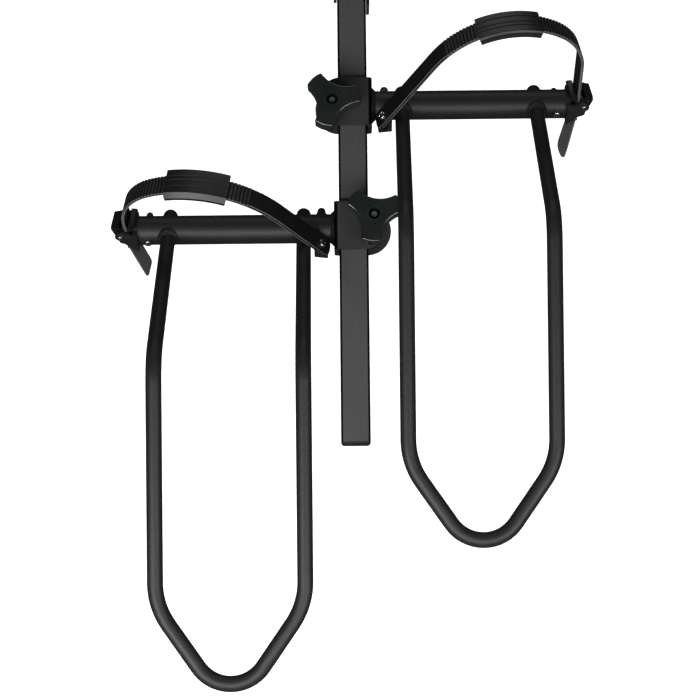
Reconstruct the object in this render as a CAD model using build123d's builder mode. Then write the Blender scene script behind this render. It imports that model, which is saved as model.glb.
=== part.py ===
# Arm of a hitch bike rack: a square bar hinged to a hub bracket, with two wheel holders clamped
# to it. Millimetres. X runs across the bar, Y along it towards the hub, Z up. The origin is the
# middle of the hub bolts, on the face that meets the hub. The bar reaches towards -Y.

from build123d import *

import os
from math import acos, atan2, cos, degrees, hypot, radians, sin, sqrt, tan

# Square bar and its hinge at the hub
BAR_SIZE = 32.0
BAR_WALL = 2.5
BAR_CORNER = 3.0
BAR_REACH = 560.0            # free end of the bar to the hinge pin
BAR_PAST_PIN = 20.0          # bar behind the hinge pin
BAR_CAP_THICK = 3.5
CAP_CHAMFER = 2.2
PLUG_DEPTH = 18.0
PLUG_WALL = 2.0
PLUG_CORNER = 1.6
PIVOT_TO_HUB = 46.0
HUB_PLATE = (70.0, 80.0, 6.0)
HUB_BOLTS = (50.0, 60.0)
HUB_BOLT_HOLE = 11.0
CHEEK_THICK = 3.3
CHEEK_GAP = 0.6              # beside the bar, filled by the thrust washers
CHEEK_HEIGHT = 44.0
CHEEK_REACH = {-1: 63.0, 1: 77.0}    # from the hinge pin towards the free end, left and right
CHEEK_CORNER = 6.0
REST_GAP = 0.3
REST_LENGTH = 30.0
PIVOT_BOLT = 12.0
PIVOT_FLATS = 18.0
PIVOT_HEAD = 7.5
PIVOT_NUT = 12.0
PIVOT_BUSH = 18.0
THRUST_WASHER = 28.0
THREAD_SHOWS = 3.0
THREAD_CHAMFER = 1.0
LOCK_PIN_HOLE = 10.5
LOCK_FROM_PIVOT = 44.0
TAIL_CLEARANCE = 1.2

# Clamp of a wheel holder
HOLDERS = {-1: 235.0, 1: 373.0}      # from the free end, left and right
CLAMP_LENGTH = 53.0
CLAMP_THICK = 5.0
CLAMP_GAP = 0.5
CLAMP_BEND = 5.0
FRONT_EAR = 12.0             # bar centre line to the centre of the round end
BACK_EAR = 15.0
CLAMP_BOLT = 8.0
BOLT_OUT = 22.0              # bolt from the bar's centre line
BOLT_SHIFT = 6.0             # bolt along the bar from the middle of the clamp
BOLT_HEAD = (20.0, 4.5)
WASHER = (18.0, 1.6)
KNOB_RADIUS = 31.0
KNOB_LOBES = 3
KNOB_LOBE_HEIGHT = 20.0
KNOB_BOSS = (26.0, 10.0)
KNOB_WAIST = 16.6
KNOB_TIP = 22.0
KNOB_HOLE = 12.3
KNOB_RING = (22.0, 0.8, 0.5)         # groove round the hole: middle diameter, width, depth
KNOB_EDGE = 2.2
KNOB_TURN = {-1: 22.0, 1: 11.5}
INSERT = (14.0, 18.0)
BOLT_BELOW_TOP = 6.0
BOLT_CHAMFER = 0.8

# Cross tube and hoop
TUBE = 32.0
TUBE_WALL = 2.0
TUBE_END = 235.6
WELD_BEAD = 4.0
ROD = 16.0
ROD_WALL = 2.0
LEG_INNER = 55.0
LEG_SPREAD = 148.0
LEG_ANGLE = 45.0
LEG_BEHIND = 28.2
LEG_LENGTH = 227.0
LEG_TOE_IN = 3.3
LEG_BEND = 50.0
FLAT_FALL = 5.85             # degrees that the upper part falls away
FLAT_LENGTH = 243.0
POINT_LENGTH = 106.5
SHOULDER_BEND = 73.0
POINT_BEND = 39.0
HOOP_COLLAR = 3.4
COLLAR_RISE = 3.0
PLUG_DOME = 6.5
PLUG_STEM = 12.0

# Strap, its pad, its buckle and its anchor, in the strap's own plane
LEAN = {-1: 25.0, 1: 30.0}           # strap and its bolts, from upright towards the hub
STRAP = (24.0, 3.5)
STRAP_START = (-4.8, 1.0)
STRAP_END_CORNER = 8.0
STRAP_CREST = {-1: (107.6, 123.0, 116.0), 1: (108.2, 163.1, 98.0)}
STRAP_SHOULDER = {-1: (222.3, 61.8, 58.0), 1: (214.6, 94.3, 58.0)}
STRAP_STRAIGHTENS = 28.0
STRAP_ENTERS = 18.0
STRAP_LINE = 216.3           # the strap's middle where it runs down through the buckle
STRAP_TAIL = {-1: (205.8, -80.0), 1: (209.9, -77.0)}
TAIL_STARTS = 16.0
TAIL_TWIST = {-1: 10.0, 1: -3.0}
STRAP_SCREW = 5.0
STRAP_SCREW_IN = 12.0
STRAP_SCREW_HEAD = (10.0, 2.8)
STRAP_SCREW_LENGTH = 9.0
SLIDE_FIT = 0.3
SIDE_FIT = 0.3
PAD_LENGTH = 66.0
PAD_WIDTH = 36.0
PAD_ABOVE = 4.8
PAD_BELOW = 4.2
PAD_FRONT_BEVEL = (4.0, 2.8)         # width, height
PAD_BACK_BEVEL = (3.4, 2.7)
PAD_MIDDLE = {-1: 133.0, 1: 132.0}
ANCHOR_OUT = 32.0
ANCHOR_FRONT = 28.0
ANCHOR_NOSE = 6.0
ANCHOR_SPAN = (-4.3, 10.5)
ANCHOR_DEEP = 7.5
ANCHOR_BOLT = 6.0
ANCHOR_SEAT = 10.0
ANCHOR_HEAD = (8.8, 4.0)
ANCHOR_BOLT_IN = 3.5
ANCHOR_NUT = (10.0, 4.6, 11.5)     # across flats, hexagon, whole height
BUCKLE_OUT = 248.0
BUCKLE_PIN = 4.5
PIN_HEAD = (6.4, 1.8)
PIN_NUT = (7.2, 2.4)
PIN_ABOVE = 9.5
PIN_PAST_STRAP = 5.6
CHEEK_PLATE = 1.5
BASE_TOP = 15.6
BASE_FOOT = 8.0
BASE_LIP = (7.5, 8.0)                # how far the lead-in reaches back, and up
BASE_EASE = 1.2
LEVER_WALL = 2.0
LEVER_COVER = ((2.6, 11.0), (11.2, 7.6), (12.6, 0.2), (8.8, -2.8))
LEVER_INSIDE = ((0.4, 13.0), (2.2, 8.6), (9.2, 6.0), (10.4, 0.6), (6.6, -1.2))
LEVER_OPEN = (8.0, 22.0, 12.0)       # the hollow behind, above and below the pin
LEVER_CUT = 5.2                      # front corner of the cover
DRIVE_PIVOT = (4.6, 3.0)
DRIVE_ARM = ((1.6, -1.4), (1.2, 1.9), (-1.6, -1.4))
DRIVE_TOOTH = ((1.6, 7.4), (0.0, 5.4), (1.4, 4.2))
HOLD_PIVOT = (5.4, -2.6)
HOLD_ARM = ((-1.8, -1.8), (1.2, -2.0), (2.8, -6.6), (4.2, -6.2), (2.4, 1.6), (-0.6, 2.6))
HOLD_TOOTH = ((1.2, 4.6), (0.0, 3.2))
PAWL_PIN = 3.0
PIN_BOSS = 2.4
PAWL_BOSS = 1.8
LUG_EAR = 3.2
LUG_NOSE = 6.0
LUG_HEIGHT = 26.0
FLANGE = 5.4
LUG_SCREW = 5.0
LUG_SCREW_IN = 10.6
LUG_SCREW_HEAD = (9.0, 3.0)
LUG_NUT = (8.0, 3.6, 8.0)
SLOT_WIDTH = 1.1
NUT_DEEPER = 0.8
PIN_FIT = 0.05
HOLE_FIT = 0.2

HALF_BAR = BAR_SIZE / 2
HALF_TUBE = TUBE / 2
PIVOT_Y = -PIVOT_TO_HUB
FREE_END = PIVOT_Y - BAR_REACH
CHEEK_INNER = HALF_BAR + CHEEK_GAP
CHEEK_OUTER = CHEEK_INNER + CHEEK_THICK
CLAMP_IN = HALF_BAR + CLAMP_GAP
CLAMP_OUT = CLAMP_IN + CLAMP_THICK
EAR_RADIUS = CLAMP_LENGTH / 2
NAME = {-1: "left", 1: "right"}

os.makedirs("parts", exist_ok=True)


def save(builder, label):
    builder.part.label = label
    export_step(builder.part, f"parts/{label}.step")


def holder_y(side):
    return FREE_END + HOLDERS[side]


def across(side, x):
    # a plane square to the cross tube at the distance x from the bar, tilted with the strap's bolts
    lean = radians(LEAN[side])
    return Plane(origin=(side * x, holder_y(side), 0), x_dir=(1, 0, 0), z_dir=(0, -cos(lean), sin(lean)))


def bar_parts():
    with BuildPart() as arm_bar:
        with BuildSketch(Plane.XZ.offset(-FREE_END)):
            RectangleRounded(BAR_SIZE, BAR_SIZE, BAR_CORNER)
            RectangleRounded(
                BAR_SIZE - 2 * BAR_WALL, BAR_SIZE - 2 * BAR_WALL, BAR_CORNER - BAR_WALL / 2, mode=Mode.SUBTRACT
            )
        extrude(amount=-(BAR_REACH + BAR_PAST_PIN))
        with BuildSketch(Plane.YZ):
            with Locations((PIVOT_Y, 0)):
                Circle(PIVOT_BUSH / 2)
            with Locations((PIVOT_Y - LOCK_FROM_PIVOT, 0)):
                Circle(LOCK_PIN_HOLE / 2)
        extrude(amount=BAR_SIZE, both=True, mode=Mode.SUBTRACT)
    save(arm_bar, "arm_bar")

    inner = BAR_SIZE - 2 * BAR_WALL
    with BuildPart() as bar_end_cap:
        with BuildSketch(Plane.XZ.offset(-FREE_END)):
            RectangleRounded(BAR_SIZE, BAR_SIZE, BAR_CORNER)
        extrude(amount=BAR_CAP_THICK)
        chamfer(bar_end_cap.faces().sort_by(Axis.Y)[0].edges(), CAP_CHAMFER)
        with BuildSketch(Plane.XZ.offset(-FREE_END)):
            RectangleRounded(inner - HOLE_FIT, inner - HOLE_FIT, PLUG_CORNER)
            RectangleRounded(inner - 2 * PLUG_WALL, inner - 2 * PLUG_WALL, PLUG_CORNER / 2, mode=Mode.SUBTRACT)
        extrude(amount=-PLUG_DEPTH)
    save(bar_end_cap, "bar_end_cap")

    with BuildPart() as pivot_bush:
        with BuildSketch(Plane.YZ):
            with Locations((PIVOT_Y, 0)):
                Circle(PIVOT_BUSH / 2)
                Circle(PIVOT_BOLT / 2 + PIN_FIT, mode=Mode.SUBTRACT)
        extrude(amount=HALF_BAR, both=True)
    save(pivot_bush, "pivot_bush")

    with BuildPart() as pivot_washers:
        for side in (-1, 1):
            with BuildSketch(Plane.YZ.offset(side * (HALF_BAR + CHEEK_GAP / 2))):
                with Locations((PIVOT_Y, 0)):
                    Circle(THRUST_WASHER / 2)
                    Circle(PIVOT_BOLT / 2 + HOLE_FIT, mode=Mode.SUBTRACT)
            extrude(amount=CHEEK_GAP / 2 - PIN_FIT, both=True)
    save(pivot_washers, "pivot_washers")


def hub_parts():
    plate_x, plate_z, plate_y = HUB_PLATE
    with BuildPart() as hinge_bracket:
        with BuildSketch(Plane.XZ):
            RectangleRounded(plate_x, plate_z, CHEEK_CORNER)
            with GridLocations(*HUB_BOLTS, 2, 2):
                Circle(HUB_BOLT_HOLE / 2, mode=Mode.SUBTRACT)
        extrude(amount=plate_y)
        for side in (-1, 1):
            reach = CHEEK_REACH[side] + PIVOT_TO_HUB - plate_y
            with BuildSketch(Plane.YZ.offset(side * CHEEK_INNER)):
                with Locations((-plate_y - reach / 2, 0)):
                    Rectangle(reach, CHEEK_HEIGHT)
            extrude(amount=side * CHEEK_THICK)
        free_edges = hinge_bracket.edges().filter_by(Axis.X).filter_by(
            lambda edge: edge.center().Y < PIVOT_Y and abs(edge.center().X) < plate_x / 2
        )
        fillet(free_edges, CHEEK_CORNER)
        # the rest is a short floor under the bar that carries it when the arm is down
        turning = hypot(BAR_PAST_PIN, HALF_BAR) + TAIL_CLEARANCE
        floor_top = -HALF_BAR - REST_GAP
        with BuildSketch(Plane.XY.offset(floor_top)):
            with Locations((0, PIVOT_Y - turning - REST_LENGTH / 2)):
                Rectangle(2 * CHEEK_OUTER, REST_LENGTH)
        extrude(amount=-(CHEEK_HEIGHT / 2 + floor_top))
        with BuildSketch(Plane.YZ):
            with Locations((PIVOT_Y, 0)):
                Circle(PIVOT_BOLT / 2 + HOLE_FIT)
            with Locations((PIVOT_Y - LOCK_FROM_PIVOT, 0)):
                Circle(LOCK_PIN_HOLE / 2)
        extrude(amount=2 * CHEEK_OUTER, both=True, mode=Mode.SUBTRACT)
    save(hinge_bracket, "hinge_bracket")

    with BuildPart() as pivot_bolt:
        with BuildSketch(Plane.YZ.offset(-CHEEK_OUTER)):
            with Locations((PIVOT_Y, 0)):
                RegularPolygon(PIVOT_FLATS / 2, 6, major_radius=False)
        extrude(amount=-PIVOT_HEAD)
        with BuildSketch(Plane.YZ.offset(-CHEEK_OUTER)):
            with Locations((PIVOT_Y, 0)):
                Circle(PIVOT_BOLT / 2)
        extrude(amount=2 * CHEEK_OUTER + PIVOT_NUT + THREAD_SHOWS)
        chamfer(pivot_bolt.faces().sort_by(Axis.X)[-1].edges(), THREAD_CHAMFER)
    save(pivot_bolt, "pivot_bolt")

    with BuildPart() as pivot_nut:
        with BuildSketch(Plane.YZ.offset(CHEEK_OUTER)):
            with Locations((PIVOT_Y, 0)):
                RegularPolygon(PIVOT_FLATS / 2, 6, major_radius=False)
                Circle(PIVOT_BOLT / 2 + PIN_FIT, mode=Mode.SUBTRACT)
        extrude(amount=PIVOT_NUT)
    save(pivot_nut, "pivot_nut")


def clamp_parts(side):
    name = NAME[side]
    y = holder_y(side)
    bolt_y = y - side * BOLT_SHIFT
    with BuildPart() as clamp:
        # a channel open towards the side away from the cross tube
        with BuildSketch(Plane.XZ.offset(-y)) as channel:
            with Locations((side * (CLAMP_OUT - FRONT_EAR) / 2, 0)):
                Rectangle(CLAMP_OUT + FRONT_EAR, 2 * CLAMP_OUT)
            fillet(channel.vertices().group_by(Axis.X)[-1 if side > 0 else 0], CLAMP_BEND)
            with Locations((side * (CLAMP_IN - FRONT_EAR - CLAMP_GAP) / 2, 0)):
                Rectangle(CLAMP_IN + FRONT_EAR + CLAMP_GAP, 2 * CLAMP_IN, mode=Mode.SUBTRACT)
        extrude(amount=EAR_RADIUS, both=True)
        for top, ear in ((1, FRONT_EAR), (-1, BACK_EAR)):
            with BuildSketch(Plane.XY.offset(top * CLAMP_IN)):
                with Locations((-side * ear, y)):
                    Circle(EAR_RADIUS)
                with Locations((-side * (ear + FRONT_EAR) / 2, y)):
                    Rectangle(abs(ear - FRONT_EAR) + 0.1, CLAMP_LENGTH)
            extrude(amount=top * CLAMP_THICK)
        with BuildSketch(Plane.XY.offset(-CLAMP_OUT)):
            with Locations((-side * BOLT_OUT, bolt_y)):
                Rectangle(CLAMP_BOLT + 2 * HOLE_FIT, CLAMP_BOLT + 2 * HOLE_FIT)
        extrude(amount=CLAMP_THICK, mode=Mode.SUBTRACT)
        with BuildSketch(Plane.XY.offset(CLAMP_IN)):
            with Locations((-side * BOLT_OUT, bolt_y)):
                Circle(CLAMP_BOLT / 2 + HOLE_FIT)
        extrude(amount=CLAMP_THICK, mode=Mode.SUBTRACT)
    save(clamp, f"{name}_clamp_bracket")

    head_wide, head_high = BOLT_HEAD
    knob_base = CLAMP_OUT + WASHER[1]
    knob_top = knob_base + KNOB_BOSS[1] + KNOB_LOBE_HEIGHT
    with BuildPart() as clamp_bolt:
        # carriage bolt: a low round head and a square neck in the back ear
        with BuildSketch(Plane.XY.offset(-CLAMP_OUT)):
            with Locations((-side * BOLT_OUT, bolt_y)):
                Circle(head_wide / 2)
        extrude(amount=-head_high)
        fillet(clamp_bolt.faces().sort_by(Axis.Z)[0].edges(), head_high * 0.9)
        with BuildSketch(Plane.XY.offset(-CLAMP_OUT)):
            with Locations((-side * BOLT_OUT, bolt_y)):
                Rectangle(CLAMP_BOLT, CLAMP_BOLT)
        extrude(amount=CLAMP_THICK)
        with BuildSketch(Plane.XY.offset(-CLAMP_OUT)):
            with Locations((-side * BOLT_OUT, bolt_y)):
                Circle(CLAMP_BOLT / 2)
        extrude(amount=CLAMP_OUT + knob_top - BOLT_BELOW_TOP)
        chamfer(clamp_bolt.faces().sort_by(Axis.Z)[-1].edges(), BOLT_CHAMFER)
    save(clamp_bolt, f"{name}_clamp_bolt")

    with BuildPart() as washer:
        with BuildSketch(Plane.XY.offset(CLAMP_OUT + PIN_FIT)):
            with Locations((-side * BOLT_OUT, bolt_y)):
                Circle(WASHER[0] / 2)
                Circle(CLAMP_BOLT / 2 + HOLE_FIT, mode=Mode.SUBTRACT)
        extrude(amount=WASHER[1] - 2 * PIN_FIT)
    save(washer, f"{name}_clamp_washer")

    # the lobes are what three round scallops leave of a disc
    half_step = 180 / KNOB_LOBES
    corner = half_step - degrees(atan2(KNOB_TIP / 2, KNOB_RADIUS))
    reach = (KNOB_RADIUS**2 - KNOB_WAIST**2) / (2 * (KNOB_RADIUS * cos(radians(corner)) - KNOB_WAIST))
    scallop = reach - KNOB_WAIST
    centre = (-side * BOLT_OUT, bolt_y)
    with BuildPart() as knob:
        with BuildSketch(Plane.XY.offset(knob_base + KNOB_BOSS[1])) as lobes:
            with Locations(centre):
                Circle(KNOB_RADIUS)
                with PolarLocations(reach, KNOB_LOBES, start_angle=KNOB_TURN[side] + half_step):
                    Circle(scallop, mode=Mode.SUBTRACT)
            fillet(lobes.vertices(), KNOB_EDGE)
        extrude(amount=KNOB_LOBE_HEIGHT)
        fillet(knob.faces().sort_by(Axis.Z)[-1].edges(), KNOB_EDGE)
        with BuildSketch(Plane.XY.offset(knob_base)):
            with Locations(centre):
                Circle(KNOB_BOSS[0] / 2)
        extrude(amount=KNOB_BOSS[1])
        with BuildSketch(Plane.XY.offset(knob_base)):
            with Locations(centre):
                Circle(KNOB_HOLE / 2)
        extrude(amount=knob_top, mode=Mode.SUBTRACT)
        with BuildSketch(Plane.XY.offset(knob_base)):
            with Locations(centre):
                Circle(INSERT[0] / 2)
        extrude(amount=INSERT[1], mode=Mode.SUBTRACT)
        ring_middle, ring_wide, ring_deep = KNOB_RING
        with BuildSketch(Plane.XY.offset(knob_top)):
            with Locations(centre):
                Circle((ring_middle + ring_wide) / 2)
                Circle((ring_middle - ring_wide) / 2, mode=Mode.SUBTRACT)
        extrude(amount=-ring_deep, mode=Mode.SUBTRACT)
    save(knob, f"{name}_knob")

    with BuildPart() as insert:
        with BuildSketch(Plane.XY.offset(knob_base)):
            with Locations(centre):
                Circle(INSERT[0] / 2)
                Circle(CLAMP_BOLT / 2 + PIN_FIT, mode=Mode.SUBTRACT)
        extrude(amount=INSERT[1])
    save(insert, f"{name}_knob_insert")


def hoop_points(side):
    # corners of the hoop's centre line, from the inner leg's end round to the outer leg's end
    y = holder_y(side)
    rise, fall = radians(LEG_ANGLE), radians(FLAT_FALL)

    def corner(x, leg, flat):
        return (
            side * (x - LEG_TOE_IN * leg / LEG_LENGTH),
            y - leg * cos(rise) - flat * cos(fall),
            leg * sin(rise) - flat * sin(fall),
        )

    outer = LEG_INNER + LEG_SPREAD
    return [
        corner(LEG_INNER, -LEG_BEHIND, 0),
        corner(LEG_INNER, LEG_LENGTH, 0),
        corner(LEG_INNER, LEG_LENGTH, FLAT_LENGTH),
        corner(LEG_INNER + LEG_SPREAD / 2, LEG_LENGTH, FLAT_LENGTH + POINT_LENGTH),
        corner(outer, LEG_LENGTH, FLAT_LENGTH),
        corner(outer, LEG_LENGTH, 0),
        corner(outer, -LEG_BEHIND, 0),
    ]


def leg_planes(side):
    # a plane across each leg where it passes the cross tube's axis, facing up the leg
    points = hoop_points(side)
    for low, high in ((points[0], points[1]), (points[-1], points[-2])):
        along = (Vector(*high) - Vector(*low)).normalized()
        yield Plane(origin=Vector(*low) + along * LEG_BEHIND, x_dir=(1, 0, 0), z_dir=along)


def tube_parts(side):
    name = NAME[side]
    y = holder_y(side)
    length = TUBE_END - CLAMP_OUT
    web = Plane(origin=(side * CLAMP_OUT, y, 0), x_dir=(0, 1, 0), z_dir=(side, 0, 0))
    with BuildPart() as tube:
        with BuildSketch(web):
            Circle(HALF_TUBE)
        extrude(amount=length)
        with BuildSketch(web):
            Circle(HALF_TUBE + WELD_BEAD)
        extrude(amount=WELD_BEAD, taper=45)
        with BuildSketch(web):
            Circle(HALF_TUBE - TUBE_WALL)
        extrude(amount=length, mode=Mode.SUBTRACT)
        for plane in leg_planes(side):
            with BuildSketch(plane):
                Circle(ROD / 2 + PIN_FIT)
            extrude(amount=TUBE, both=True, mode=Mode.SUBTRACT)
        for x, size in ((TUBE_END - LUG_SCREW_IN, LUG_SCREW), (ANCHOR_OUT + ANCHOR_BOLT_IN, ANCHOR_BOLT)):
            with BuildSketch(across(side, x)):
                Circle(size / 2 + HOLE_FIT)
            extrude(amount=TUBE, both=True, mode=Mode.SUBTRACT)
    save(tube, f"{name}_cross_tube")

    points = hoop_points(side)
    start = Plane(origin=points[0], x_dir=(1, 0, 0), z_dir=Vector(*points[1]) - Vector(*points[0]))
    with BuildPart() as hoop:
        with BuildLine():
            FilletPolyline(*points, radius=(LEG_BEND, SHOULDER_BEND, POINT_BEND, SHOULDER_BEND, LEG_BEND))
        with BuildSketch(start):
            Circle(ROD / 2)
            Circle(ROD / 2 - ROD_WALL, mode=Mode.SUBTRACT)
        sweep()
    save(hoop, f"{name}_wheel_hoop")

    with BuildPart() as collars:
        for plane in leg_planes(side):
            for way in (1, -1):
                foot = Plane(origin=plane.origin, x_dir=(1, 0, 0), z_dir=plane.z_dir * way)
                with BuildSketch(foot.offset(HALF_TUBE / 2)):
                    Circle(ROD / 2 + HOOP_COLLAR)
                extrude(amount=HALF_TUBE / 2)
                with BuildSketch(foot.offset(HALF_TUBE)):
                    Circle(ROD / 2 + HOOP_COLLAR)
                extrude(amount=COLLAR_RISE, taper=45)
            with BuildSketch(plane):
                Circle(ROD / 2 + PIN_FIT)
            extrude(amount=2 * TUBE, both=True, mode=Mode.SUBTRACT)
        with BuildSketch(web):
            Circle(HALF_TUBE)
        extrude(amount=length, mode=Mode.SUBTRACT)
    save(collars, f"{name}_hoop_welds")

    bore = ROD / 2 - ROD_WALL
    with BuildPart() as plugs:
        for plane in leg_planes(side):
            end = plane.offset(-LEG_BEHIND)
            mouth = Plane(origin=end.origin, x_dir=end.z_dir, z_dir=end.x_dir)
            with BuildSketch(mouth):
                with BuildLine():
                    Polyline((0, ROD / 2), (0, bore - PIN_FIT), (PLUG_STEM, bore - PIN_FIT), (PLUG_STEM, 0), (-PLUG_DOME, 0))
                    ThreePointArc((-PLUG_DOME, 0), (-PLUG_DOME * 0.75, ROD * 0.33), (0, ROD / 2))
                make_face()
            revolve(axis=Axis(end.origin, end.z_dir), revolution_arc=360)
    save(plugs, f"{name}_hoop_plugs")


def strap_plane(side):
    # the strap's own plane: origin at its anchor, x out towards the buckle, y up the arch
    lean = radians(LEAN[side])
    front = Vector(0, -cos(lean), sin(lean))
    anchor = Vector(side * ANCHOR_OUT, holder_y(side), 0) + front * ANCHOR_FRONT
    buckle = Vector(side * BUCKLE_OUT, holder_y(side), 0)
    along = (buckle - anchor).normalized()
    up = Vector(0, sin(lean), cos(lean))
    return Plane(origin=anchor, x_dir=along, z_dir=along.cross(up))


def place(side, x, y, angle=0.0):
    # a plane square to the strap's plane at the point x, y: its z points along the angle
    plane = strap_plane(side)
    turn = radians(angle)
    out = plane.x_dir * cos(turn) + plane.y_dir * sin(turn)
    return Plane(origin=plane.from_local_coords((x, y, 0)), x_dir=plane.z_dir, z_dir=out)


def strap_start_angle(side):
    return degrees(atan2(STRAP_CREST[side][1] - STRAP_START[1], STRAP_CREST[side][0] - STRAP_START[0]))


def crest_centre(side):
    # centre of the large arc that the pad slides on
    x0, y0 = STRAP_START
    x1, y1, r1 = STRAP_CREST[side]
    x2, y2, _ = STRAP_SHOULDER[side]
    before = atan2(y1 - y0, x1 - x0)
    after = atan2(y2 - y1, x2 - x1)
    reach = r1 / cos((before - after) / 2)
    facing = (before + after) / 2 - radians(90)
    return x1 + reach * cos(facing), y1 + reach * sin(facing)


def strap_parts(side):
    name = NAME[side]
    plane = strap_plane(side)
    wide, thick = STRAP
    x1, y1, r1 = STRAP_CREST[side]
    x2, y2, r2 = STRAP_SHOULDER[side]
    tail_x, tail_y = STRAP_TAIL[side]
    tail = place(side, STRAP_LINE, -TAIL_STARTS, degrees(atan2(tail_y + TAIL_STARTS, tail_x - STRAP_LINE)))
    tail_length = hypot(tail_x - STRAP_LINE, tail_y + TAIL_STARTS)
    with BuildPart() as strap:
        with BuildLine(plane) as route:
            FilletPolyline(
                STRAP_START, (x1, y1), (x2, y2), (STRAP_LINE, STRAP_ENTERS), (STRAP_LINE, -TAIL_STARTS),
                radius=(r1, r2, STRAP_STRAIGHTENS),
            )
        with BuildSketch(place(side, *STRAP_START, strap_start_angle(side))):
            Rectangle(wide, thick)
        sweep(path=route.wires()[0])
        corners = strap.edges().filter_by(lambda edge: abs(edge.length - thick) < PIN_FIT)
        fillet(corners.sort_by_distance(plane.from_local_coords((*STRAP_START, 0)))[:2], STRAP_END_CORNER)
        # the free tail turns its smooth side a little to the front, and its end is drawn in
        for share, width in ((0, 1), (0.35, 1), (0.9, 1), (1, 0.5)):
            turned = tail.offset(tail_length * share).rotated((0, 0, side * TAIL_TWIST[side] * min(1, share * 1.6)))
            with BuildSketch(turned):
                Rectangle(wide * width, thick)
        loft(ruled=True)
        screw = strap_screw_plane(side)
        with BuildSketch(screw):
            Circle(STRAP_SCREW / 2 + HOLE_FIT)
        extrude(amount=thick, both=True, mode=Mode.SUBTRACT)
    save(strap, f"{name}_strap")

    cx, cy = crest_centre(side)
    top, bottom, half = r1 + PAD_ABOVE, r1 - PAD_BELOW, PAD_WIDTH / 2
    front_wide, front_high = PAD_FRONT_BEVEL
    back_wide, back_high = PAD_BACK_BEVEL
    half_angle = degrees(PAD_LENGTH / 2 / r1)
    first = degrees(acos((PAD_MIDDLE[side] - cx) / r1)) - half_angle
    origin = plane.from_local_coords((cx, cy, 0))
    out = place(side, cx, cy, first).z_dir
    with BuildPart() as pad:
        # a broad bevel along each side, the deeper one towards the front
        with BuildSketch(Plane(origin=origin, x_dir=out, z_dir=out.cross(plane.z_dir))):
            with BuildLine():
                Polyline(
                    (bottom, -side * half), (top - back_high, -side * half), (top, -side * (half - back_wide)),
                    (top, side * (half - front_wide)), (top - front_high, side * half), (bottom, side * half),
                    close=True,
                )
            make_face()
            with Locations((r1, 0)):
                Rectangle(thick + 2 * SLIDE_FIT, wide + 2 * SLIDE_FIT, mode=Mode.SUBTRACT)
        revolve(axis=Axis(origin, plane.z_dir), revolution_arc=2 * half_angle)
    save(pad, f"{name}_strap_pad")


def strap_screw_plane(side):
    # on the strap's outer face near its fixed end, facing out
    angle = radians(strap_start_angle(side))
    x = STRAP_START[0] + STRAP_SCREW_IN * cos(angle) - STRAP[1] / 2 * sin(angle)
    y = STRAP_START[1] + STRAP_SCREW_IN * sin(angle) + STRAP[1] / 2 * cos(angle)
    return place(side, x, y, degrees(angle) + 90)


def pan_screw(label, seat, head, size, length, slots):
    # seat faces away from the screw's point, and slots is how many slots cross in the head
    wide, high = head
    with BuildPart() as screw:
        with BuildSketch(seat):
            Circle(wide / 2)
        extrude(amount=high)
        fillet(screw.faces().sort_by(Axis(seat.origin, seat.z_dir))[-1].edges(), high * 0.6)
        for number in range(slots):
            with BuildSketch(seat.offset(high).rotated((0, 0, 45 + 90 * number))):
                Rectangle(wide * 0.62 if slots > 1 else wide, SLOT_WIDTH)
            extrude(amount=-high * 0.5, mode=Mode.SUBTRACT)
        with BuildSketch(seat):
            Circle(size / 2)
        extrude(amount=-length)
    save(screw, label)


def cap_nut(label, seat, flats, hex_high, tip, bore):
    # seat faces away from the piece that the nut is tightened on
    with BuildPart() as nut:
        with BuildSketch(seat):
            RegularPolygon(flats / 2, 6, major_radius=False)
        extrude(amount=hex_high)
        with BuildSketch(seat):
            Circle(flats * 0.46)
        extrude(amount=tip)
        fillet(nut.faces().sort_by(Axis(seat.origin, seat.z_dir))[-1].edges(), flats * 0.43)
        with BuildSketch(seat):
            Circle(bore / 2 + PIN_FIT)
        extrude(amount=hex_high + NUT_DEEPER, mode=Mode.SUBTRACT)
    save(nut, label)


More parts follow.
